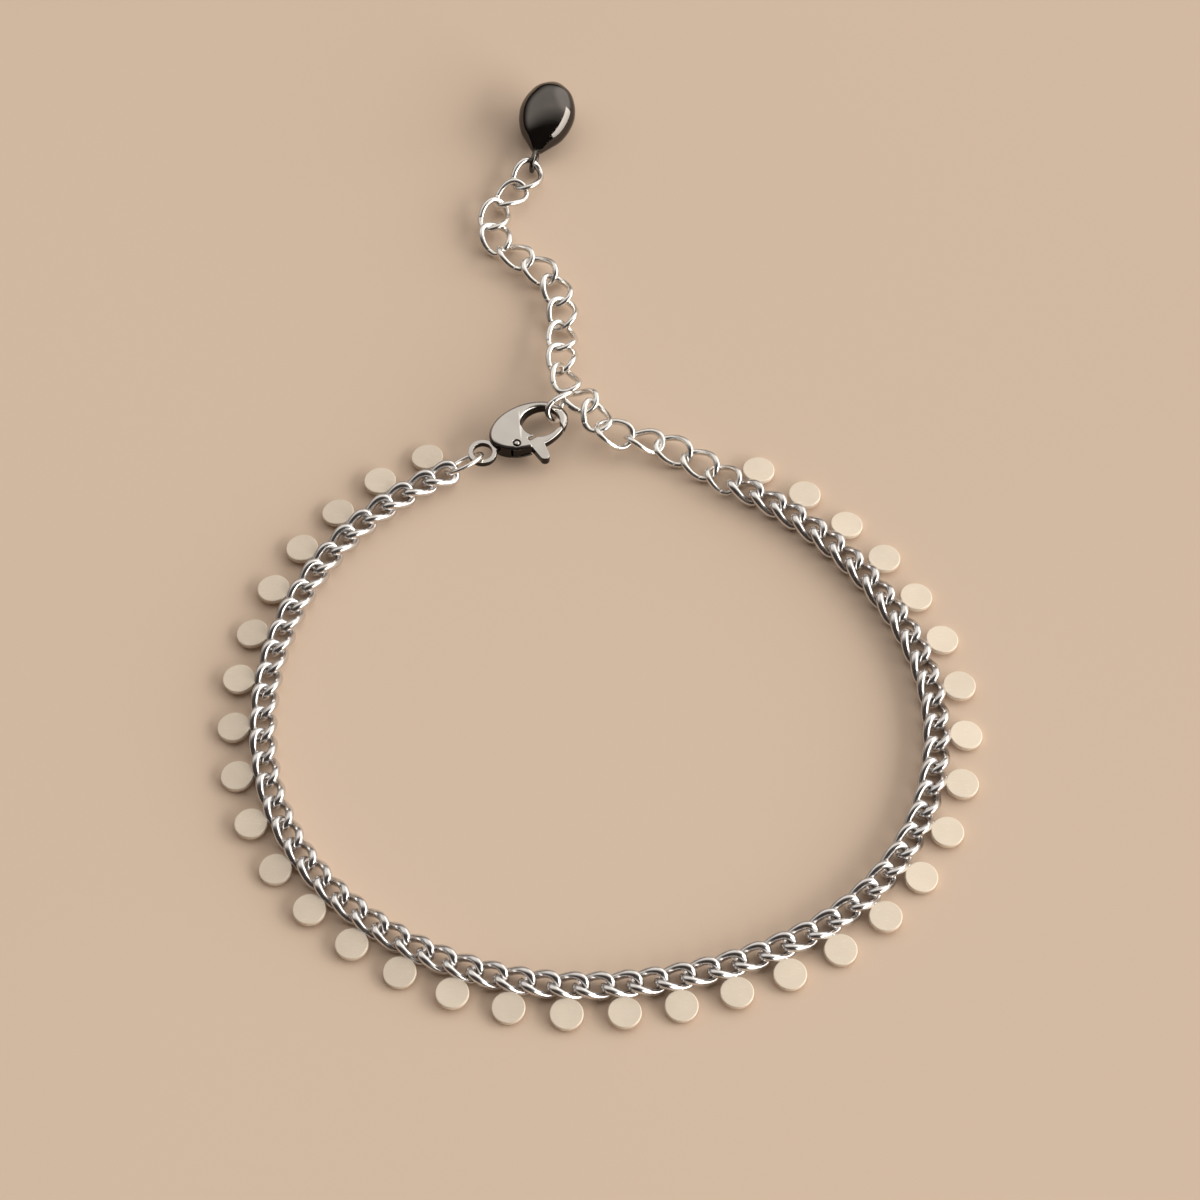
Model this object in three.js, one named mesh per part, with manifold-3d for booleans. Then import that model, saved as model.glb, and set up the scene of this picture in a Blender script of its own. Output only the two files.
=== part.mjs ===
// Coin bracelet: a curb chain with a plain disc soldered to every second link, closed by a
// lobster clasp hooked into an extension chain that ends in a drop charm.
// Millimetres, +Z up. It lies closed on a table, with the clasp on the far (+Y) side.
import * as THREE from "three";
import { mergeVertices } from "three/addons/utils/BufferGeometryUtils.js";
import Module from "manifold-3d";

const wasm = await Module();
wasm.setup();

// Driving sizes
const coinDiameter = 2.8;
const coinThickness = 0.45;
const curbLink = { halfLength: 1.48, halfWidth: 0.87, twist: 0.5, wire: 0.72 };
const extensionLink = { halfLength: 1.62, halfWidth: 1.2, twist: 0.4, wire: 0.55 };
const chainRing = { halfLength: 1.5, halfWidth: 1.25, twist: 0.46, wire: 0.5 };
const claspRing = { halfLength: 1.75, halfWidth: 1.5, twist: 0, wire: 0.42 };
const gap = 0.12; // clear space between neighbouring pieces
const seat = 0.06; // how far fused neighbours run into each other
const solderSeat = 0.12; // how far a coin's edge runs into the wire that it is soldered to
const linkSegments = 10;
const wireSides = 5;
const coinSides = 12;

// The curb chain is walked from the clasp's side, with the inside of the loop on the left.
// Each unit is a plain link and the coin link after it; turn is in degrees for a unit.
// The first unit has no plain link: the clasp's ring holds its coin link.
const curbStart = { x: -10.94, y: 13.71, heading: 202.8 };
const curbStretches = [
  { units: 4, turn: 9.6 },
  { units: 4, turn: 8.5 },
  { units: 4, turn: 10.7 },
  { units: 5, turn: 8.7 },
  { units: 4, turn: 6.6 },
  { units: 4, turn: 11.3 },
  { units: 4, turn: 10.7 },
  { units: 5, turn: 7.7 },
];
const coinDroop = 6.5; // degrees that a coin leans down and outwards
const coinSway = 2.5; // degrees by which single coins differ from that

// The ring at the far end of the curb chain, and the extension chain that follows it.
// Heading is the link's way in plan, slope its climb, roll its turn about its own length.
const chainRingHeading = 143;
const extensionHeight = 0.9;
const loopLinks = [
  { heading: 144.5, slope: 0, roll: -9 },
  { heading: 150.5, slope: 0, roll: -13.5 },
  { heading: 175, slope: 11, roll: 15.5 },
  { heading: 168.5, slope: 13.5, roll: -6.5 },
  { heading: 102, slope: 0.5, roll: 19.5 },
  { heading: 150, slope: -13.5, roll: 10 },
];
const heldLinks = [{ heading: 101, slope: -11.5, roll: 20.5 }];
const tailLinks = [
  { heading: 94, slope: -8, roll: -11 },
  { heading: 86, slope: -10.5, roll: 10 },
  { heading: 93, slope: 0, roll: -8 },
  { heading: 109.5, slope: 0, roll: 6 },
  { heading: 139.5, slope: 0, roll: -8 },
  { heading: 148, slope: 0, roll: 6 },
  { heading: 115.5, slope: 0, roll: -10 },
  { heading: 71, slope: 0, roll: 8 },
  { heading: 45.5, slope: 0, roll: -8 },
  { heading: 67.5, slope: 0, roll: 6 },
];
const hookDistance = 2.78; // from the middle of the clasp's eye to the middle of the hooked link
const hookAngle = 30; // where that link sits on the hook, in degrees from the clasp's x axis
const tailSeat = 0.9; // height above the hooked link's middle at which the free end hangs on
const tailOutset = 0.1; // how far outside that link's opening the free end's first bow lies

// The clasp's own x axis runs from the base ring to the hook, which a link holds up.
const claspPlace = { x: -10.28, y: 14.46, z: 1.36, heading: 27.6, slope: 0.6 };
const claspThickness = 1.8;
const hookShare = 0.34; // thickness left at the hook's end
const claspEdge = 0.4; // size of the softened edge
const baseRing = { radius: 1.27, hole: 0.86, thickness: 0.55 };
const claspOval = { x: 4.75, y: 0.4, halfLength: 3.7, halfWidth: 2.35 };
const claspEye = { x: 5.9, y: 0.35, halfLength: 1.7, halfWidth: 1.5 };
const leverPivot = { x: 2.9, y: -0.95 };
const leverThickness = 0.85;
const leverLength = 4.4; // from the pivot to the tip
const leverTop = -0.95; // inner end of the tip, from the clasp's middle line
const leverLug = 0.6;
const leverInset = 0.05; // how far the lever's outline lies inside the frame's
const leverEdge = 0.15; // size of its softened edge
const thumbTab = { x: 4.6, y: -3.0, radius: 0.42, edge: 0.12 };
const pinRadius = 0.25;
const forkSlot = 1.1;

// The drop charm: half width and half thickness along its length, from the eye outwards.
const dropSections = [
  { along: 0.0, width: 0.5, thickness: 0.46 },
  { along: 0.8, width: 1.2, thickness: 0.98 },
  { along: 1.7, width: 1.95, thickness: 1.44 },
  { along: 2.9, width: 2.42, thickness: 1.74 },
  { along: 4.2, width: 2.55, thickness: 1.84 },
  { along: 5.5, width: 2.2, thickness: 1.64 },
  { along: 6.6, width: 1.45, thickness: 1.12 },
];
const dropLength = 7.3;
const dropSides = 14;
const dropWay = { heading: 76, slope: 10.6 };
const dropEye = { halfLength: 1.0, halfWidth: 0.82, twist: 0, wire: 0.45 };

const radians = THREE.MathUtils.degToRad;

// Solids and meshes

function solidOf(geometry) {
  const bare = geometry.clone();
  bare.deleteAttribute("normal");
  bare.deleteAttribute("uv");
  const merged = mergeVertices(bare, 1e-4);
  return new wasm.Manifold(
    new wasm.Mesh({
      numProp: 3,
      vertProperties: merged.attributes.position.array,
      triVerts: new Uint32Array(merged.index.array),
    }),
  );
}

function joined(geometries) {
  return geometries.map(solidOf).reduce((whole, next) => whole.add(next));
}

function geometryOf(solid) {
  const { vertProperties, triVerts } = solid.getMesh();
  const geometry = new THREE.BufferGeometry();
  geometry.setAttribute("position", new THREE.BufferAttribute(vertProperties, 3));
  geometry.setIndex(new THREE.BufferAttribute(triVerts, 1));
  geometry.computeVertexNormals();
  return geometry;
}

const bracelet = new THREE.Group();
bracelet.name = "coin_bracelet";

function addPiece(name, solid, { colour, roughness }) {
  const material = new THREE.MeshStandardMaterial({ color: colour, roughness, metalness: 1 });
  const mesh = new THREE.Mesh(geometryOf(solid), material);
  mesh.name = name;
  bracelet.add(mesh);
}

const coinSteel = { colour: 0xd8cfc0, roughness: 0.35 };
const chainSteel = { colour: 0xc9c8c6, roughness: 0.2 };
const polishedSteel = { colour: 0xc4c3c2, roughness: 0.1 };
const darkSteel = { colour: 0x5a5450, roughness: 0.08 };

// Placing pieces

function placed(geometry, { x, y, z, heading = 0, slope = 0, roll = 0 }) {
  const turn = new THREE.Euler(radians(roll), radians(-slope), radians(heading), "ZYX");
  const matrix = new THREE.Matrix4().makeRotationFromEuler(turn);
  return geometry.clone().applyMatrix4(matrix.setPosition(x, y, z));
}

function ahead(place, distance) {
  const heading = radians(place.heading);
  const slope = radians(place.slope ?? 0);
  return {
    ...place,
    x: place.x + distance * Math.cos(slope) * Math.cos(heading),
    y: place.y + distance * Math.cos(slope) * Math.sin(heading),
    z: place.z + distance * Math.sin(slope),
  };
}

// From a link's middle to the inside of its end bow, where the next link pulls.
function reach(link) {
  return link.halfLength - link.wire / 2;
}

// A closed ring of round wire: an oval in plan, twisted so that rings of a kind interlock flat.
function wireLoop({ halfLength, halfWidth, twist, wire }, segments = linkSegments) {
  const corners = [];
  const faces = [];
  for (let i = 0; i < segments; i++) {
    const angle = (2 * Math.PI * i) / segments;
    const cos = Math.cos(angle);
    const sin = Math.sin(angle);
    const middle = new THREE.Vector3(halfLength * cos, halfWidth * sin, twist * Math.sin(2 * angle));
    const along = new THREE.Vector3(
      -halfLength * sin,
      halfWidth * cos,
      2 * twist * Math.cos(2 * angle),
    ).normalize();
    const outward = new THREE.Vector3(cos / halfLength, sin / halfWidth, 0).projectOnPlane(along);
    outward.normalize();
    const upward = new THREE.Vector3().crossVectors(outward, along);
    for (let j = 0; j < wireSides; j++) {
      const round = Math.PI + (2 * Math.PI * j) / wireSides;
      const corner = middle.clone();
      corner.addScaledVector(outward, (wire / 2) * Math.cos(round));
      corner.addScaledVector(upward, (wire / 2) * Math.sin(round));
      corners.push(...corner.toArray());
      const here = i * wireSides + j;
      const beside = i * wireSides + ((j + 1) % wireSides);
      const next = ((i + 1) % segments) * wireSides + j;
      const across = ((i + 1) % segments) * wireSides + ((j + 1) % wireSides);
      faces.push(here, across, beside, here, next, across);
    }
  }
  const geometry = new THREE.BufferGeometry();
  geometry.setAttribute("position", new THREE.Float32BufferAttribute(corners, 3));
  geometry.setIndex(faces);
  return geometry;
}

// Curb chain: a plain link and a coin link for each unit, resting on the table

const plainLink = wireLoop(curbLink);
const coinLink = wireLoop(curbLink, linkSegments + 2);
const solderLine = curbLink.halfWidth + curbLink.wire / 2 - solderSeat;

// A coin in its link's own frame, leaning by this many degrees more than the link.
function coinAt(sway) {
  return new THREE.CylinderGeometry(coinDiameter / 2, coinDiameter / 2, coinThickness, coinSides)
    .rotateX(Math.PI / 2)
    .translate(0, -coinDiameter / 2, 0)
    .rotateX(radians(sway))
    .translate(0, -solderLine, 0);
}

function lowestPoint(geometries) {
  const lows = geometries.map((geometry) => {
    geometry.computeBoundingBox();
    return geometry.boundingBox.min.z;
  });
  return Math.min(...lows);
}

const level = { x: 0, y: 0, z: 0, roll: coinDroop };
const curbHeight = -lowestPoint([placed(plainLink, level), placed(coinAt(coinSway), level)]);

let contact = { ...curbStart, z: curbHeight };
let unitNumber = 0;
for (const { units, turn } of curbStretches) {
  for (let i = 0; i < units; i++) {
    unitNumber += 1;
    const sway = coinSway * Math.sin(2.4 * unitNumber);
    const plain = { ...ahead(contact, reach(curbLink) - gap / 2), roll: coinDroop };
    const joint = ahead(plain, reach(curbLink) + seat / 2);
    joint.heading += turn / 2;
    const coinPlace = ahead(joint, reach(curbLink) + seat / 2);
    const pieces = [placed(coinLink, coinPlace), placed(coinAt(sway), coinPlace)];
    if (unitNumber > 1) pieces.push(placed(plainLink, plain));
    addPiece("coin_link_" + String(unitNumber).padStart(2, "0"), joined(pieces), coinSteel);
    contact = ahead(coinPlace, reach(curbLink) - gap / 2);
    contact.heading += turn / 2;
  }
}

// Ring at the far end, then the two stretches of extension chain

const ringStart = { ...contact, z: extensionHeight, heading: chainRingHeading, roll: 0 };
const ringPlace = ahead(ringStart, reach(chainRing) - gap / 2);
addPiece("chain_jump_ring", solidOf(placed(wireLoop(chainRing), ringPlace)), chainSteel);

function chainPieces(start, rows, lastSeat) {
  const loop = wireLoop(extensionLink);
  const pieces = [];
  let end = start;
  rows.forEach((row, i) => {
    const before = i === 0 ? -gap / 2 : seat / 2;
    const after = i === rows.length - 1 ? lastSeat / 2 : seat / 2;
    const middle = ahead({ ...end, ...row }, reach(extensionLink) + before);
    pieces.push(placed(loop, middle));
    end = ahead(middle, reach(extensionLink) + after);
  });
  return { pieces, end };
}

// The link that the clasp holds stands upright on the hook; its far bow holds both stretches.
const hookWay = { slope: 0, heading: claspPlace.heading + hookAngle, roll: 90 };
const hookedPlace = ahead({ ...ahead(claspPlace, claspEye.x), ...hookWay }, hookDistance);
const farBow = ahead(hookedPlace, reach(extensionLink) - gap / 2);

const loopStart = ahead(ringPlace, reach(chainRing) - gap / 2);
const loopStretch = chainPieces(loopStart, loopLinks, seat);
const hookedLink = placed(wireLoop(extensionLink), hookedPlace);
const heldStart = { ...ahead(farBow, tailOutset), z: farBow.z + tailSeat };
const heldStretch = chainPieces(heldStart, heldLinks, -gap);
const loopPieces = [...loopStretch.pieces, hookedLink, ...heldStretch.pieces];
addPiece("extension_chain_loop", joined(loopPieces), chainSteel);
const tailStretch = chainPieces(heldStretch.end, tailLinks, -gap);
addPiece("extension_chain_tail", joined(tailStretch.pieces), chainSteel);

// Drop charm with its eye standing upright round the last link's bow

function dropBody() {
  const corners = [0, 0, 0];
  const faces = [];
  dropSections.forEach(({ along, width, thickness }, i) => {
    for (let j = 0; j < dropSides; j++) {
      const round = (2 * Math.PI * j) / dropSides;
      corners.push(along, width * Math.cos(round), thickness * Math.sin(round));
      const here = 1 + i * dropSides + j;
      const beside = 1 + i * dropSides + ((j + 1) % dropSides);
      if (i === 0) {
        faces.push(0, beside, here);
      } else {
        faces.push(here - dropSides, beside - dropSides, beside, here - dropSides, beside, here);
      }
    }
  });
  const tip = 1 + dropSections.length * dropSides;
  corners.push(dropLength, 0, 0);
  for (let j = 0; j < dropSides; j++) {
    const last = tip - dropSides;
    faces.push(last + j, last + ((j + 1) % dropSides), tip);
  }
  const geometry = new THREE.BufferGeometry();
  geometry.setAttribute("position", new THREE.Float32BufferAttribute(corners, 3));
  geometry.setIndex(faces);
  return geometry;
}

const dropStart = { ...tailStretch.end, roll: 0, ...dropWay };
const eyePlace = ahead(dropStart, reach(dropEye) - 2 * gap);
const dropPlace = ahead(eyePlace, dropEye.halfLength - seat);
const dropParts = [
  placed(wireLoop(dropEye), { ...eyePlace, roll: 90 }),
  placed(dropBody(), dropPlace),
];
addPiece("drop_charm", joined(dropParts), darkSteel);

// Clasp: outlines drawn in its own plane

const nearSide = -4; // a line in front of the whole clasp, where cuts may start

function circleOutline({ x, y = 0, radius }, from = 0, to = 2 * Math.PI, steps = 12) {
  const points = [];
  for (let i = 0; i <= steps; i++) {
    const angle = from + ((to - from) * i) / steps;
    points.push(new THREE.Vector2(x + radius * Math.cos(angle), y + radius * Math.sin(angle)));
  }
  return points;
}

function ovalOutline({ x, y, halfLength, halfWidth }, steps) {
  return circleOutline({ x: 0, radius: 1 }, 0, 2 * Math.PI, steps).map(
    (point) => new THREE.Vector2(x + halfLength * point.x, y + halfWidth * point.y),
  );
}

function plate(points, thickness, edge = 0) {
  const shape = new THREE.Shape(points);
  const geometry = new THREE.ExtrudeGeometry(shape, {
    depth: thickness - 2 * edge,
    bevelEnabled: edge > 0,
    bevelThickness: edge,
    bevelSize: edge,
    bevelOffset: -edge,
    bevelSegments: 1,
  });
  return solidOf(geometry.translate(0, 0, edge - thickness / 2));
}

// The clasp thins from its base to the end of its hook.
function thinned(solid) {
  const geometry = geometryOf(solid);
  const points = geometry.attributes.position;
  const start = claspOval.x - claspOval.halfLength;
  for (let i = 0; i < points.count; i++) {
    const share = Math.max(0, points.getX(i) - start) / (2 * claspOval.halfLength);
    points.setZ(i, points.getZ(i) * (1 - (1 - hookShare) * share ** 2));
  }
  return solidOf(geometry);
}

function disc(x, y, radius, thickness) {
  const geometry = new THREE.CylinderGeometry(radius, radius, thickness, 12);
  return solidOf(geometry.rotateX(Math.PI / 2).translate(x, y, 0));
}

// Everything below the top line and right of the left line that a lever of this length can reach.
function tipSector(length, top, left) {
  const high = Math.asin((top - leverPivot.y) / length);
  const arc = circleOutline({ ...leverPivot, radius: length }, radians(-75), high, 8);
  return [new THREE.Vector2(left, nearSide), ...arc, new THREE.Vector2(left, top)];
}

const eyeCut = plate(ovalOutline(claspEye, 20), 2 * claspThickness);
const bodyBlank = plate(ovalOutline(claspOval, 24), claspThickness, claspEdge);
const gateLeft = leverPivot.x + 1.1;
const gateCut = plate(tipSector(leverLength + gap, leverTop + gap, gateLeft), 2 * claspThickness);
const sweepCut = plate(tipSector(leverLength + gap, 0.2, claspEye.x), 2 * claspThickness);
const slotOutline = [
  new THREE.Vector2(leverPivot.x - leverLug - gap, nearSide),
  new THREE.Vector2(leverPivot.x + 2.2, nearSide),
  new THREE.Vector2(leverPivot.x + 2.2, 0.35),
  new THREE.Vector2(leverPivot.x - leverLug - gap, -0.25),
];
const slotCut = plate(slotOutline, forkSlot);
const base = disc(0, 0, baseRing.radius, baseRing.thickness);
const baseCut = disc(0, 0, baseRing.hole, 2 * claspThickness);
const pinCut = disc(leverPivot.x, leverPivot.y, pinRadius + gap, 2 * claspThickness);
const bodyCuts = [baseCut, eyeCut, gateCut, sweepCut, slotCut, pinCut];
const body = bodyCuts.reduce((rest, cut) => rest.subtract(cut), thinned(bodyBlank).add(base));

const leverOval = {
  ...claspOval,
  halfLength: claspOval.halfLength - leverInset,
  halfWidth: claspOval.halfWidth - leverInset,
};
const leverBlank = plate(ovalOutline(leverOval, 24), leverThickness, leverEdge);
const tabStem = plate(
  [
    new THREE.Vector2(thumbTab.x - thumbTab.radius, thumbTab.y),
    new THREE.Vector2(thumbTab.x + thumbTab.radius, thumbTab.y),
    new THREE.Vector2(thumbTab.x + 0.6, -1.7),
    new THREE.Vector2(thumbTab.x - 0.6, -1.7),
  ],
  leverThickness,
  thumbTab.edge,
);
const tab = plate(circleOutline(thumbTab), leverThickness, thumbTab.edge).add(tabStem);
const leverArea = plate(tipSector(leverLength, leverTop, gateLeft), 2 * claspThickness);
const lug = disc(leverPivot.x, leverPivot.y, leverLug, leverThickness);
const root = plate(
  [
    new THREE.Vector2(leverPivot.x, leverPivot.y - leverLug),
    new THREE.Vector2(leverPivot.x + 1.3, -1.75),
    new THREE.Vector2(leverPivot.x + 1.3, -0.8),
    new THREE.Vector2(leverPivot.x, leverPivot.y + leverLug),
  ],
  leverThickness,
);
const lever = leverBlank.intersect(leverArea).add(tab).subtract(eyeCut).add(root).add(lug);

function inClasp(solid) {
  return solidOf(placed(geometryOf(solid), claspPlace));
}

addPiece("clasp_body", inClasp(body), polishedSteel);
addPiece("clasp_lever", inClasp(lever.subtract(pinCut)), polishedSteel);
addPiece("clasp_pin", inClasp(disc(leverPivot.x, leverPivot.y, pinRadius, claspThickness)), polishedSteel);

// Ring between the clasp's base and the near end of the curb chain

const claspRingPlace = { x: -11.9, y: 13.43, z: 1.25, heading: 35, slope: 1.25, roll: -46.3 };
addPiece("clasp_jump_ring", solidOf(placed(wireLoop(claspRing), claspRingPlace)), chainSteel);

// The middle of the underside is the origin.
const box = new THREE.Box3().setFromObject(bracelet);
const middle = box.getCenter(new THREE.Vector3());
bracelet.children.forEach((mesh) => mesh.geometry.translate(-middle.x, -middle.y, -box.min.z));

export default bracelet;
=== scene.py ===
"""Looks of the coin bracelet: drawn wire, satin coins, a clasp with a high polish and a dark drop."""
import math
from collections import namedtuple
from dataclasses import dataclass, replace

import bmesh
import bpy
from mathutils import Matrix, Vector


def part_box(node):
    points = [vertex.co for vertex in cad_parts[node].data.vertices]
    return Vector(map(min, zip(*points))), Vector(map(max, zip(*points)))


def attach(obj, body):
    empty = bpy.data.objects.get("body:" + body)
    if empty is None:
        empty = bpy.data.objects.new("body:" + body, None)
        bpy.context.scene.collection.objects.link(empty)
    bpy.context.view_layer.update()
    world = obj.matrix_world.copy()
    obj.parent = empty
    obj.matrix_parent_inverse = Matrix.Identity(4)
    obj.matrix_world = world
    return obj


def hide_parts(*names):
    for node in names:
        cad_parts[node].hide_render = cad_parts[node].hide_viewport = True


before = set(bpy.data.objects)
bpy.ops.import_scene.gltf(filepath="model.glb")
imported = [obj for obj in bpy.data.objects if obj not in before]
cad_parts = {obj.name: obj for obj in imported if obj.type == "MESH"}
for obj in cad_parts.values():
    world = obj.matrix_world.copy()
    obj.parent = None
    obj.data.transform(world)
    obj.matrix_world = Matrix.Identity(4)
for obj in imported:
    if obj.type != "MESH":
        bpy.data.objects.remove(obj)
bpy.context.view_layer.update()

# Driving sizes in millimetres and degrees: the solids' own, with those of the finer forms
Wire = namedtuple("Wire", "half_length half_width twist thickness")
curb_link = Wire(1.48, 0.87, 0.5, 0.72)
extension_link = Wire(1.62, 1.2, 0.4, 0.55)
chain_ring = Wire(1.5, 1.25, 0.46, 0.5)
clasp_ring = Wire(1.75, 1.5, 0.0, 0.42)
drop_eye = Wire(1.0, 0.82, 0.0, 0.45)
gap = 0.12
seat = 0.06
solder_seat = 0.12

# A butt seam in a bent wire: angles from its middle, and the share of the wire's thickness there
Seam = namedtuple("Seam", "offset share")
seam_rows = [
    Seam(-0.03, 1.0),
    Seam(-0.012, 0.97),
    Seam(0.0, 0.88),
    Seam(0.012, 0.97),
    Seam(0.03, 1.0),
]
seam_room = 0.06
seam_angle = math.pi * 0.62

solder_half_length = 0.52
solder_half_width = 0.17
solder_half_height = 0.2
solder_inset = 0.02

coin_radius = 1.4
coin_thickness = 0.45
coin_edge = 0.09
coin_droop = 6.5
coin_sway = 2.5
curb_height = 0.842

# The curb chain, walked from the clasp's side: a coin link, then units of a plain link and a coin link
curb_start_x = -10.94
curb_start_y = 13.71
curb_start_heading = 202.8
Stretch = namedtuple("Stretch", "units turn")
curb_stretches = [
    Stretch(4, 9.6),
    Stretch(4, 8.5),
    Stretch(4, 10.7),
    Stretch(5, 8.7),
    Stretch(4, 6.6),
    Stretch(4, 11.3),
    Stretch(4, 10.7),
    Stretch(5, 7.7),
]

# The extension chain
Way = namedtuple("Way", "heading slope roll")
chain_ring_heading = 143
extension_height = 0.9
loop_ways = [
    Way(144.5, 0, -9),
    Way(150.5, 0, -13.5),
    Way(175, 11, 15.5),
    Way(168.5, 13.5, -6.5),
    Way(102, 0.5, 19.5),
    Way(150, -13.5, 10),
]
held_ways = [Way(101, -11.5, 20.5)]
tail_ways = [
    Way(94, -8, -11),
    Way(86, -10.5, 10),
    Way(93, 0, -8),
    Way(109.5, 0, 6),
    Way(139.5, 0, -8),
    Way(148, 0, 6),
    Way(115.5, 0, -10),
    Way(71, 0, 8),
    Way(45.5, 0, -8),
    Way(67.5, 0, 6),
]
hook_distance = 2.78
hook_angle = 30
tail_seat = 0.9
tail_outset = 0.1

# The clasp, whose own x axis runs from the base ring to the hook
Oval = namedtuple("Oval", "x y half_length half_width")
clasp_thickness = 1.8
clasp_edge = 0.42
clasp_eye_flare = 0.4
clasp_near_side = -4
hook_share = 0.34
base_radius = 1.27
base_hole = 0.86
base_thickness = 0.55
clasp_oval = Oval(4.75, 0.4, 3.7, 2.35)
clasp_eye = Oval(5.9, 0.35, 1.7, 1.5)
pivot_x = 2.9
pivot_y = -0.95
lever_thickness = 0.85
lever_length = 4.4
lever_top = -0.95
lever_lug = 0.6
lever_inset = 0.05
lever_edge = 0.18
lever_eye_flare = 0.12
tab_x = 4.6
tab_y = -3.0
tab_radius = 0.42
pin_radius = 0.25
fork_slot = 1.1

# The drop, from its eye outwards: half width and half thickness
Section = namedtuple("Section", "along width thickness")
drop_sections = [
    Section(0.0, 0.5, 0.46),
    Section(0.8, 1.2, 0.98),
    Section(1.7, 1.95, 1.44),
    Section(2.9, 2.42, 1.74),
    Section(4.2, 2.55, 1.84),
    Section(5.5, 2.2, 1.64),
    Section(6.6, 1.45, 1.12),
    Section(7.3, 0.0, 0.0),
]
drop_heading = 76
drop_slope = 10.6

# Camera, read from the photograph's perspective
camera_elevation = 57
camera_height = 361.6
picture_focal = 5000 / 1200


# Places along the chain


@dataclass(frozen=True)
class Place:
    """A spot on the table in millimetres and the way that a link there lies."""

    x: float
    y: float
    z: float
    heading: float = 0.0
    slope: float = 0.0
    roll: float = 0.0

    def matrix(self):
        turn = Matrix.Rotation(math.radians(self.heading), 4, "Z")
        climb = Matrix.Rotation(math.radians(-self.slope), 4, "Y")
        roll = Matrix.Rotation(math.radians(self.roll), 4, "X")
        return Matrix.Translation((self.x, self.y, self.z)) @ turn @ climb @ roll

    def ahead(self, distance):
        point = self.matrix() @ Vector((distance, 0, 0))
        return replace(self, x=point.x, y=point.y, z=point.z)


def reach(wire):
    return wire.half_length - wire.thickness / 2


clasp_place = Place(-10.28, 14.46, 1.36, heading=27.6, slope=0.6)
clasp_ring_place = Place(-11.9, 13.43, 1.25, heading=35, slope=1.25, roll=-46.3)

# The solids' frame has its origin under the middle of the bracelet: the rivet shows the shift.
pin_low, pin_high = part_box("clasp_pin")
pin_middle = (Vector(pin_low) + Vector(pin_high)) / 2
shift = pin_middle * 1000 - clasp_place.matrix() @ Vector((pivot_x, pivot_y, 0))
into_frame = Matrix.Scale(0.001, 4) @ Matrix.Translation(shift)


# Shader nodes


class Value:
    """A shader socket that can be used in sums; each sum adds its Math node."""

    def __init__(self, finish, socket):
        self.finish = finish
        self.socket = socket

    def sum(self, operation, *terms):
        return self.finish.node("ShaderNodeMath", {"operation": operation}, dict(enumerate(terms)))

    def __add__(self, other):
        return self.sum("ADD", self, other)

    def __sub__(self, other):
        return self.sum("SUBTRACT", self, other)

    def __rsub__(self, other):
        return self.sum("SUBTRACT", other, self)

    def __mul__(self, other):
        return self.sum("MULTIPLY", self, other)

    __radd__ = __add__
    __rmul__ = __mul__


class Finish:
    """The nodes of one material or of the sky."""

    def __init__(self, owner):
        owner.use_nodes = True
        self.tree = owner.node_tree
        self.tree.nodes.clear()

    def node(self, kind, settings=None, inputs=None, output=0):
        made = self.tree.nodes.new(kind)
        for name, setting in (settings or {}).items():
            setattr(made, name, setting)
        for name, value in (inputs or {}).items():
            if isinstance(value, Value):
                self.tree.links.new(value.socket, made.inputs[name])
            else:
                made.inputs[name].default_value = value
        return Value(self, made.outputs[output]) if len(made.outputs) else made

    def place(self):
        return self.node("ShaderNodeTexCoord", output="Object")

    def stretched(self, place, scale):
        return self.node("ShaderNodeVectorMath", {"operation": "MULTIPLY"}, {0: place, 1: scale})

    def noise(self, place, scale, detail=2.0):
        return self.node("ShaderNodeTexNoise", {}, {"Vector": place, "Scale": scale, "Detail": detail})

    def between(self, value, low, high):
        limits = {"Value": value, "From Min": low, "From Max": high}
        return self.node("ShaderNodeMapRange", {"interpolation_type": "SMOOTHSTEP"}, limits)

    def blend(self, share, first, second):
        kinds = {"data_type": "RGBA"}
        return self.node("ShaderNodeMix", kinds, {0: share, 6: first, 7: second}, output=2)

    def bump(self, height, strength, depth):
        return self.node("ShaderNodeBump", {}, {"Height": height, "Strength": strength, "Distance": depth})

    def surface(self, inputs):
        shader = self.node("ShaderNodeBsdfPrincipled", {}, inputs)
        self.node("ShaderNodeOutputMaterial", {}, {"Surface": shader})


def new_finish(name):
    material = bpy.data.materials.new(name)
    return material, Finish(material)


def satin_coin():
    """Tumbled steel: a broad soft sheen with a fine grain, and small scratches from wear."""
    material, finish = new_finish("satin_coin")
    place = finish.place()
    grain = finish.noise(place, 9000, 3)
    cloud = finish.noise(place, 420, 2)
    scratch = finish.noise(finish.stretched(place, (1.0, 9.0, 1.0)), 1500, 2)
    worn = finish.between(scratch, 0.6, 0.72)
    colour = finish.blend(cloud, (0.79, 0.715, 0.615, 1), (0.91, 0.84, 0.745, 1))
    colour = finish.blend(worn * 0.35, colour, (0.94, 0.9, 0.83, 1))
    finish.surface({
        "Base Color": colour,
        "Metallic": 1.0,
        "Roughness": 0.78 + (grain - 0.5) * 0.16 + (cloud - 0.5) * 0.12 - worn * 0.08,
        "Normal": finish.bump(grain + worn * 0.6, 0.22, 0.00002),
    })
    return material


def drawn_wire(name, dark, light, roughness):
    """Polished wire: faint draw marks, and a slightly duller tone in patches."""
    material, finish = new_finish(name)
    place = finish.place()
    grain = finish.noise(place, 5200, 3)
    cloud = finish.noise(place, 700, 2)
    finish.surface({
        "Base Color": finish.blend(cloud, dark, light),
        "Metallic": 1.0,
        "Roughness": roughness + (cloud - 0.5) * 0.08 + (grain - 0.5) * 0.06,
        "Normal": finish.bump(grain, 0.1, 0.00001),
    })
    return material


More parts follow.
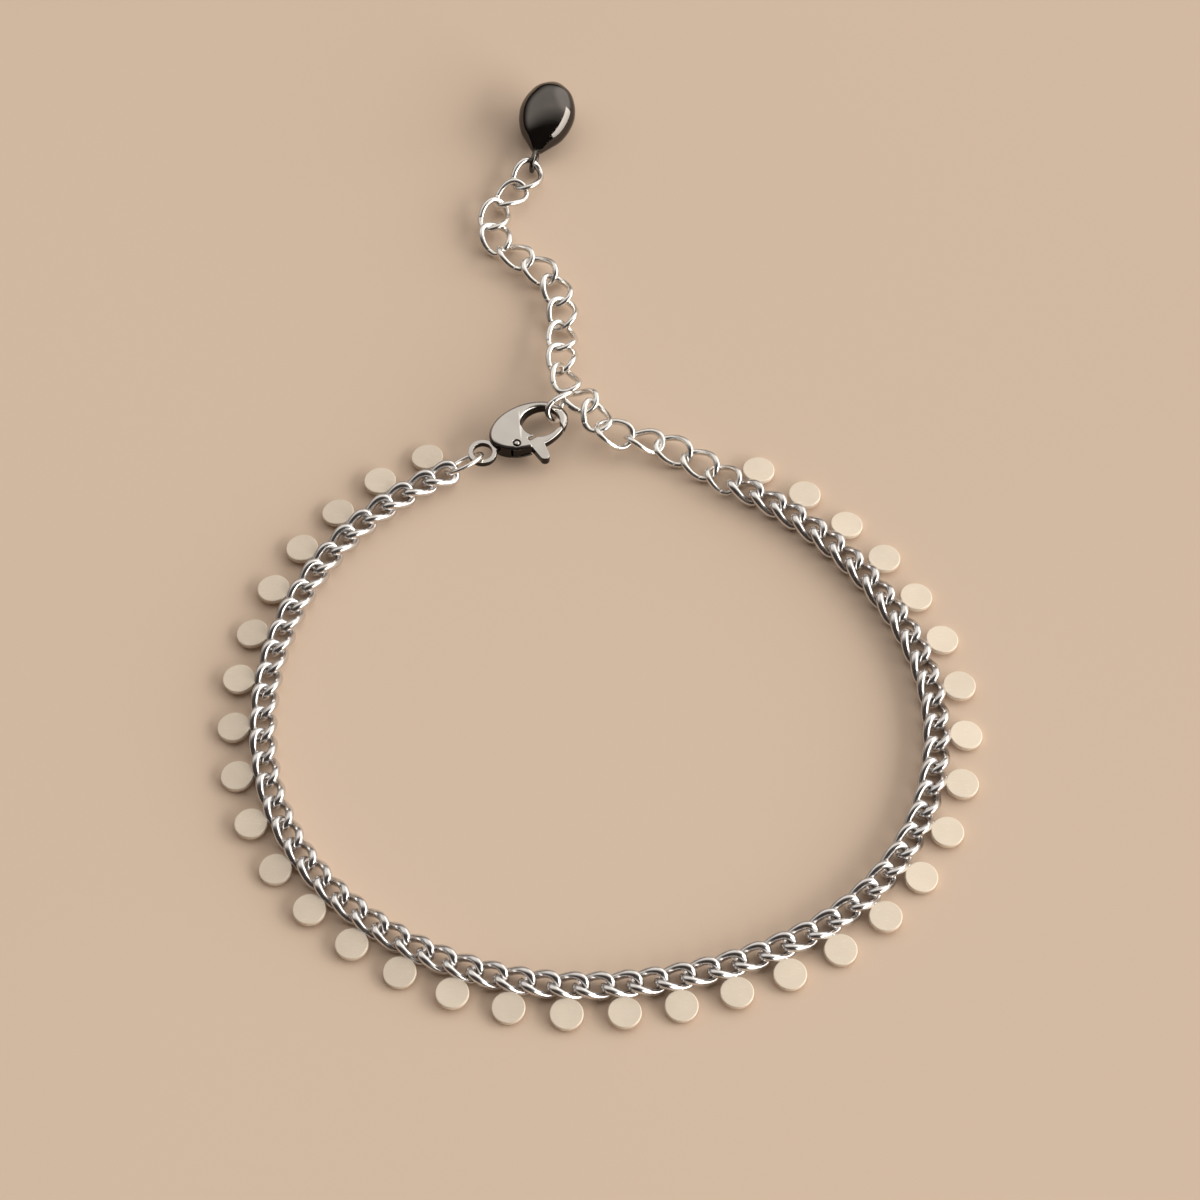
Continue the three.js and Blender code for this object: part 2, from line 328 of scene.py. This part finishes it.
def polished_steel(name, painted_wall_shade, dark, light, roughness):
    """Polish with the hairline scratches of use; upright sides get a painted shade and dark reflection in
    their base colour.
    """
    material, finish = new_finish(name)
    place = finish.place()
    cloud = finish.noise(place, 520, 2)
    first = finish.noise(finish.stretched(place, (1.0, 14.0, 3.0)), 900, 2)
    second = finish.noise(finish.stretched(place, (12.0, 1.5, 3.0)), 800, 2)
    hairline = finish.between(first, 0.63, 0.7) + finish.between(second, 0.65, 0.72)
    # Painted shade: faces that stand upright take the dark side colour, flat faces keep the steel's tone.
    normal = finish.node("ShaderNodeTexCoord", output="Normal")
    upward = finish.node("ShaderNodeSeparateXYZ", {}, {0: normal}, output="Z")
    unshaded_share = finish.between(upward * upward, 0.25, 0.6)
    finish.surface({
        "Base Color": finish.blend(unshaded_share, painted_wall_shade, finish.blend(cloud, dark, light)),
        "Metallic": 1.0,
        "Roughness": roughness + cloud * 0.05 + hairline * 0.1,
        "Normal": finish.bump(hairline, 0.1, 0.000008),
    })
    return material


def pale_table():
    material, finish = new_finish("pale_table")
    place = finish.place()
    cloud = finish.noise(place, 9, 2)
    finish.surface({
        "Base Color": finish.blend(cloud, (0.7, 0.55, 0.43, 1), (0.74, 0.585, 0.46, 1)),
        "Roughness": 0.8,
        "Specular IOR Level": 0.15,
    })
    return material


coin_finish = satin_coin()
curb_finish = drawn_wire("curb_wire", (0.66, 0.645, 0.64, 1), (0.8, 0.785, 0.78, 1), 0.22)
extension_finish = drawn_wire("extension_wire", (0.76, 0.745, 0.72, 1), (0.88, 0.865, 0.84, 1), 0.25)
# The first colour of each is a painted shade and dark reflection on the upright sides of the clasp and the
# drop.
clasp_finish = polished_steel(
    "clasp_steel", (0.035, 0.03, 0.027, 1), (0.5, 0.475, 0.45, 1), (0.62, 0.595, 0.565, 1), 0.09
)
drop_finish = polished_steel(
    "drop_steel", (0.08, 0.072, 0.068, 1), (0.1, 0.09, 0.085, 1), (0.14, 0.13, 0.12, 1), 0.03
)


# Skins


class Skin:
    """Rings of points in millimetres, joined by four-sided faces; each face has its finish's number."""

    def __init__(self):
        self.points = []
        self.faces = []
        self.finishes = []

    def add(self, rings, finish=0, looped=False):
        first = len(self.points)
        sides = len(rings[0])
        for ring in rings:
            self.points.extend(ring)
        for i in range(len(rings) if looped else len(rings) - 1):
            here = first + i * sides
            there = first + ((i + 1) % len(rings)) * sides
            for j in range(sides):
                k = (j + 1) % sides
                self.faces.append((here + j, here + k, there + k, there + j))
        if not looped:
            last = first + (len(rings) - 1) * sides
            self.faces.append(tuple(range(first, first + sides)))
            self.faces.append(tuple(range(last, last + sides)))
        self.finishes.extend([finish] * (len(self.faces) - len(self.finishes)))

    def mesh(self, name, to_frame=into_frame):
        mesh = bpy.data.meshes.new(name)
        mesh.from_pydata([to_frame @ point for point in self.points], [], self.faces)
        mesh.polygons.foreach_set("material_index", self.finishes)
        outward(mesh)
        return mesh


def outward(mesh):
    work = bmesh.new()
    work.from_mesh(mesh)
    bmesh.ops.recalc_face_normals(work, faces=work.faces)
    work.to_mesh(mesh)
    work.free()
    mesh.polygons.foreach_set("use_smooth", [True] * len(mesh.polygons))


def add_piece(name, mesh, finishes, node, body):
    for finish in finishes:
        mesh.materials.append(finish)
    piece = bpy.data.objects.new(name, mesh)
    bpy.context.scene.collection.objects.link(piece)
    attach(piece, body)
    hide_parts(node)
    return piece


def steps(count, start=0.0, stop=2 * math.pi):
    return [start + (stop - start) * i / count for i in range(count)]


def wire_rings(wire, place, segments=44, sides=12, seam=None):
    """Rings along a bent wire: an oval in plan, twisted as curb links are, with a fine butt seam."""
    angles = [(angle, 1.0) for angle in steps(segments)]
    if seam is not None:
        angles = [row for row in angles if abs(row[0] - seam) > seam_room]
        angles += [(seam + row.offset, row.share) for row in seam_rows]
        angles.sort()
    rings = []
    for angle, share in angles:
        cos, sin = math.cos(angle), math.sin(angle)
        rise, climb = wire.twist * math.sin(2 * angle), 2 * wire.twist * math.cos(2 * angle)
        middle = Vector((wire.half_length * cos, wire.half_width * sin, rise))
        along = Vector((-wire.half_length * sin, wire.half_width * cos, climb)).normalized()
        side = Vector((cos / wire.half_length, sin / wire.half_width, 0))
        side = (side - side.dot(along) * along).normalized()
        up = side.cross(along)
        radius = share * wire.thickness / 2
        ring = []
        for turn in steps(sides):
            ring.append(place @ (middle + radius * (math.cos(turn) * side + math.sin(turn) * up)))
        rings.append(ring)
    return rings


def turned_rings(profile, place, sides=40):
    """Rings round the z axis, from rows of radius and height."""
    rings = []
    for radius, height in profile:
        round_trip = [(radius * math.cos(angle), radius * math.sin(angle)) for angle in steps(sides)]
        rings.append([place @ Vector((x, y, height)) for x, y in round_trip])
    return rings


def coin_profile():
    """Half a coin's section from the top's middle to the underside's, with rounded rims."""
    half = coin_thickness / 2
    flat = coin_radius - coin_edge
    rim = []
    for i in range(7):
        angle = math.pi / 2 * i / 6
        rim.append((flat + coin_edge * math.sin(angle), half - coin_edge * (1 - math.cos(angle))))
    upper = [(0.3, half), (flat * 0.7, half), (flat - 0.04, half)] + rim
    return upper + [(radius, -height) for radius, height in reversed(upper)]


# Curb chain with its coins

solder_line = curb_link.half_width + curb_link.thickness / 2 - solder_seat


def coin_matrix(link, sway):
    hang = Matrix.Translation((0, -solder_line, 0)) @ Matrix.Rotation(math.radians(sway), 4, "X")
    return link.matrix() @ hang @ Matrix.Translation((0, -coin_radius, 0))


def solder_rings(link):
    """A flat bead of solder between a link's outer strand and its coin."""
    rings = []
    for angle in steps(9, -math.pi / 2 + 0.12, math.pi / 2 + 0.22):
        x = solder_half_length * math.sin(angle)
        half_width = solder_half_width * math.cos(angle)
        half_height = solder_half_height * math.cos(angle)
        ring = []
        for turn in steps(14):
            y = -solder_line + solder_inset + half_width * math.cos(turn)
            ring.append(link.matrix() @ Vector((x, y, half_height * math.sin(turn))))
        rings.append(ring)
    return rings


contact = Place(curb_start_x, curb_start_y, curb_height, heading=curb_start_heading, roll=coin_droop)
unit_turns = [stretch.turn for stretch in curb_stretches for _ in range(stretch.units)]
for number, turn in enumerate(unit_turns, start=1):
    plain = contact.ahead(reach(curb_link) - gap / 2)
    joint = plain.ahead(reach(curb_link) + seat / 2)
    coin_link = replace(joint, heading=joint.heading + turn / 2).ahead(reach(curb_link) + seat / 2)
    sway = coin_sway * math.sin(2.4 * number)
    skin = Skin()
    if number > 1:
        skin.add(wire_rings(curb_link, plain.matrix()), looped=True)
    skin.add(wire_rings(curb_link, coin_link.matrix()), looped=True)
    skin.add(solder_rings(coin_link))
    skin.add(turned_rings(coin_profile(), coin_matrix(coin_link, sway)), finish=1)
    node = f"coin_link_{number:02d}"
    mesh = skin.mesh("curb_" + node)
    add_piece("curb_" + node, mesh, [curb_finish, coin_finish], node, "bracelet")
    end = coin_link.ahead(reach(curb_link) - gap / 2)
    contact = replace(end, heading=end.heading + turn / 2)


# Rings and extension chain


def add_wires(name, loops, node):
    skin = Skin()
    for wire, place in loops:
        rings = wire_rings(wire, place.matrix(), segments=52, sides=14, seam=seam_angle)
        skin.add(rings, looped=True)
    add_piece(name, skin.mesh(name), [extension_finish], node, "bracelet")


def chain_places(start, ways, last_seat):
    """The middles of a run of links, and the point where the next piece pulls."""
    places = []
    end = start
    for i, way in enumerate(ways):
        before = -gap / 2 if i == 0 else seat / 2
        after = last_seat / 2 if i == len(ways) - 1 else seat / 2
        start_of_link = replace(end, heading=way.heading, slope=way.slope, roll=way.roll)
        places.append(start_of_link.ahead(reach(extension_link) + before))
        end = places[-1].ahead(reach(extension_link) + after)
    return places, end


ring_start = replace(contact, z=extension_height, heading=chain_ring_heading, roll=0)
ring_place = ring_start.ahead(reach(chain_ring) - gap / 2)
hook_start = clasp_place.ahead(clasp_eye.x)
hook_start = replace(hook_start, heading=clasp_place.heading + hook_angle, slope=0, roll=90)
hooked_place = hook_start.ahead(hook_distance)
far_bow = hooked_place.ahead(reach(extension_link) - gap / 2)
loop_places, _ = chain_places(ring_place.ahead(reach(chain_ring) - gap / 2), loop_ways, seat)
held_start = replace(far_bow.ahead(tail_outset), z=far_bow.z + tail_seat)
held_places, held_end = chain_places(held_start, held_ways, -gap)
tail_places, tail_end = chain_places(held_end, tail_ways, -gap)

add_wires("right_ring", [(chain_ring, ring_place)], "chain_jump_ring")
add_wires("left_ring", [(clasp_ring, clasp_ring_place)], "clasp_jump_ring")
loop_links = [(extension_link, place) for place in loop_places + [hooked_place] + held_places]
add_wires("loop_links", loop_links, "extension_chain_loop")
add_wires("tail_links", [(extension_link, place) for place in tail_places], "extension_chain_tail")


# Drop charm


def smooth_sections(sections, parts=9):
    """A rounded curve through the sections; the far end closes at right angles to the axis."""
    first, second = sections[0], sections[1]
    before_last = sections[-2]
    lead = Section(2 * first.along - second.along, 2 * first.width - second.width, first.thickness)
    close = Section(before_last.along, -before_last.width, -before_last.thickness)
    rows = [lead, *sections, close]
    made = []
    for i in range(1, len(rows) - 2):
        a, b, c, d = (Vector(row) for row in rows[i - 1 : i + 3])
        bend = 2 * a - 5 * b + 4 * c - d
        swing = 3 * b - a - 3 * c + d
        for t in steps(parts, 0.0, 1.0):
            made.append(0.5 * (2 * b + (c - a) * t + bend * t**2 + swing * t**3))
    return made


drop_start = replace(tail_end, heading=drop_heading, slope=drop_slope, roll=0)
eye_place = drop_start.ahead(reach(drop_eye) - 2 * gap)
drop_place = eye_place.ahead(drop_eye.half_length - seat).matrix()
drop_rings = []
for along, width, thickness in smooth_sections(drop_sections):
    ring = [Vector((along, width * math.cos(a), thickness * math.sin(a))) for a in steps(56)]
    drop_rings.append([drop_place @ point for point in ring])
drop_skin = Skin()
drop_skin.add(wire_rings(drop_eye, replace(eye_place, roll=90).matrix(), segments=40), looped=True)
drop_skin.add(drop_rings)
add_piece("drop", drop_skin.mesh("drop"), [drop_finish], "drop_charm", "bracelet")


# Clasp: rounded plates, cut and joined, then softened as a tumbled casting is


def oval_outline(oval, inset=0.0):
    outline = []
    for angle in steps(128):
        x = oval.x + (oval.half_length - inset) * math.cos(angle)
        outline.append((x, oval.y + (oval.half_width - inset) * math.sin(angle)))
    return outline


def rounded_plate(oval, thickness, edge):
    """Outlines stacked up a plate whose edge is rounded; a negative edge flares outwards, for a cutter."""
    half = thickness / 2
    size = abs(edge)
    layers = []
    for i in range(6):
        angle = math.pi / 2 * i / 5
        layers.append((edge * (1 - math.sin(angle)), half - size * (1 - math.cos(angle))))
    layers.sort(key=lambda layer: -layer[1])
    if edge < 0:
        layers.insert(0, (edge, 2 * half))
    layers += [(inset, -height) for inset, height in reversed(layers)]
    return [[Vector((x, y, height)) for x, y in oval_outline(oval, inset)] for inset, height in layers]


def prism(outline, thickness):
    half = thickness / 2
    return [[Vector((x, y, height)) for x, y in outline] for height in (half, -half)]


def disc(x, y, radius, thickness):
    return prism([(x + radius * math.cos(a), y + radius * math.sin(a)) for a in steps(48)], thickness)


def thinned(rings):
    """The clasp thins from its base to the end of its hook."""
    first = clasp_oval.x - clasp_oval.half_length
    for ring in rings:
        for point in ring:
            share = max(0.0, point.x - first) / (2 * clasp_oval.half_length)
            point.z *= 1 - (1 - hook_share) * share**2
    return rings


def tip_sector(length, top, left):
    """Everything below the top line and right of the left line that a lever of this length can reach."""
    high = math.asin((top - pivot_y) / length)
    arc = []
    for i in range(25):
        angle = math.radians(-75) + (high + math.radians(75)) * i / 24
        arc.append((pivot_x + length * math.cos(angle), pivot_y + length * math.sin(angle)))
    return [(left, clasp_near_side), *arc, (left, top)]


def solid(rings):
    skin = Skin()
    skin.add(rings)
    made = bpy.data.objects.new("blank", skin.mesh("blank", Matrix.Identity(4)))
    bpy.context.scene.collection.objects.link(made)
    return made


def casting(name, blank, cuts, voxel, rounds):
    """The blank after each cut or join in turn, with its sharp edges softened, in the solids' frame."""
    work = solid(blank)
    helpers = [work]
    for operation, rings in cuts:
        helper = solid(rings)
        helpers.append(helper)
        step = work.modifiers.new(operation, "BOOLEAN")
        step.operation = operation
        step.object = helper
        step.solver = "EXACT"
    even = work.modifiers.new("even", "REMESH")
    even.mode = "VOXEL"
    even.voxel_size = voxel
    soften = work.modifiers.new("soften", "SMOOTH")
    soften.factor = 0.5
    soften.iterations = rounds
    depsgraph = bpy.context.evaluated_depsgraph_get()
    mesh = bpy.data.meshes.new_from_object(work.evaluated_get(depsgraph))
    mesh.name = name
    mesh.transform(into_frame @ clasp_place.matrix())
    mesh.materials.clear()
    outward(mesh)
    for helper in helpers:
        bpy.data.meshes.remove(helper.data)
    return mesh


cut_depth = 3 * clasp_thickness
pin_hole = disc(pivot_x, pivot_y, pin_radius + gap, cut_depth)
gate_left = pivot_x + 1.1
slot_outline = [
    (pivot_x - lever_lug - gap, clasp_near_side),
    (pivot_x + 2.2, clasp_near_side),
    (pivot_x + 2.2, 0.35),
    (pivot_x - lever_lug - gap, -0.25),
]
clasp_cuts = [
    ("UNION", disc(0, 0, base_radius, base_thickness)),
    ("DIFFERENCE", disc(0, 0, base_hole, cut_depth)),
    ("DIFFERENCE", thinned(rounded_plate(clasp_eye, clasp_thickness, -clasp_eye_flare))),
    ("DIFFERENCE", prism(tip_sector(lever_length + gap, lever_top + gap, gate_left), cut_depth)),
    ("DIFFERENCE", prism(tip_sector(lever_length + gap, 0.2, clasp_eye.x), cut_depth)),
    ("DIFFERENCE", prism(slot_outline, fork_slot)),
    ("DIFFERENCE", pin_hole),
]
clasp_blank = thinned(rounded_plate(clasp_oval, clasp_thickness, clasp_edge))
clasp_mesh = casting("clasp_frame", clasp_blank, clasp_cuts, voxel=0.045, rounds=6)
add_piece("clasp_frame", clasp_mesh, [clasp_finish], "clasp_body", "bracelet")

lever_oval = clasp_oval._replace(
    half_length=clasp_oval.half_length - lever_inset,
    half_width=clasp_oval.half_width - lever_inset,
)
lever_root = [
    (pivot_x, pivot_y - lever_lug),
    (pivot_x + 1.3, -1.75),
    (pivot_x + 1.3, -0.8),
    (pivot_x, pivot_y + lever_lug),
]
tab_stem = [
    (tab_x - tab_radius, tab_y),
    (tab_x + tab_radius, tab_y),
    (tab_x + 0.6, -1.7),
    (tab_x - 0.6, -1.7),
]
lever_cuts = [
    ("INTERSECT", prism(tip_sector(lever_length, lever_top, gate_left), cut_depth)),
    ("UNION", prism(tab_stem, lever_thickness)),
    ("UNION", disc(tab_x, tab_y, tab_radius, lever_thickness)),
    ("DIFFERENCE", rounded_plate(clasp_eye, lever_thickness, -lever_eye_flare)),
    ("UNION", prism(lever_root, lever_thickness)),
    ("UNION", disc(pivot_x, pivot_y, lever_lug, lever_thickness)),
    ("DIFFERENCE", pin_hole),
]
lever_blank = rounded_plate(lever_oval, lever_thickness, lever_edge)
lever_mesh = casting("gate", lever_blank, lever_cuts, voxel=0.04, rounds=5)
add_piece("gate", lever_mesh, [clasp_finish], "clasp_lever", "lever")

pin_half = clasp_thickness / 2
pin_profile = [
    (0.06, pin_half),
    (0.16, pin_half - 0.015),
    (0.22, pin_half - 0.05),
    (pin_radius, pin_half - 0.11),
]
pin_profile += [(radius, -height) for radius, height in reversed(pin_profile)]
pin_place = clasp_place.matrix() @ Matrix.Translation((pivot_x, pivot_y, 0))
pin_skin = Skin()
pin_skin.add(turned_rings(pin_profile, pin_place, sides=24))
add_piece("rivet", pin_skin.mesh("rivet"), [clasp_finish], "clasp_pin", "bracelet")


# Table, light and camera

table_mesh = bpy.data.meshes.new("table")
table_mesh.from_pydata([(-3, -3, 0), (3, -3, 0), (3, 3, 0), (-3, 3, 0)], [], [(0, 1, 2, 3)])
table_mesh.materials.append(pale_table())
table = bpy.data.objects.new("table", table_mesh)
bpy.context.scene.collection.objects.link(table)

# A dark room, with pale light from the far side above and a bright glow from the far right
glow_way = Vector((0.66, 0.6, 0.45)).normalized()
sky = bpy.data.worlds.new("studio")
bpy.context.scene.world = sky
sky_finish = Finish(sky)
direction = sky_finish.node("ShaderNodeTexCoord", output="Generated")
height = sky_finish.node("ShaderNodeSeparateXYZ", {}, {0: direction}, output="Z")
depth = sky_finish.node("ShaderNodeSeparateXYZ", {}, {0: direction}, output="Y")
lit = sky_finish.between(height, 0.1, 0.6) * sky_finish.between(depth, -0.35, 0.3)
towards_glow = sky_finish.node(
    "ShaderNodeVectorMath", {"operation": "DOT_PRODUCT"}, {0: direction, 1: glow_way}, output="Value"
)
glow = sky_finish.between(towards_glow, 0.8, 0.97)
sky_colour = sky_finish.blend(lit, (0.05, 0.04, 0.036, 1), (0.98, 0.925, 0.86, 1))
sky_colour = sky_finish.blend(glow, sky_colour, (1.6, 1.53, 1.45, 1))
background = sky_finish.node("ShaderNodeBackground", {}, {"Color": sky_colour, "Strength": 1.0})
sky_finish.node("ShaderNodeOutputWorld", {}, {"Surface": background})

aim = shift * 0.001
aim.z = 0


def towards(place, target):
    return (Vector(target) - Vector(place)).to_track_quat("-Z", "Y").to_euler()


window_light = bpy.data.lights.new("right_window", "AREA")
window_light.shape = "RECTANGLE"
window_light.size = 4.8
window_light.size_y = 1.92
window_light.energy = 166.0
window_light.color = (1.0, 0.96, 0.9)
window = bpy.data.objects.new("right_window", window_light)
window.location = aim + Vector((3.2, -0.88, 1.2))
window.rotation_euler = towards(window.location, aim)
bpy.context.scene.collection.objects.link(window)

camera_data = bpy.data.cameras.new("camera")
camera_data.sensor_width = 36
camera_data.lens = 36 * picture_focal
camera_data.clip_start = 0.01
camera = bpy.data.objects.new("camera", camera_data)
camera_back = camera_height / math.tan(math.radians(camera_elevation))
camera.location = aim + Vector((0, -camera_back, camera_height)) * 0.001
camera.rotation_euler = towards(camera.location, aim)
bpy.context.scene.collection.objects.link(camera)
bpy.context.scene.camera = camera
bpy.context.scene.view_settings.view_transform = "Standard"
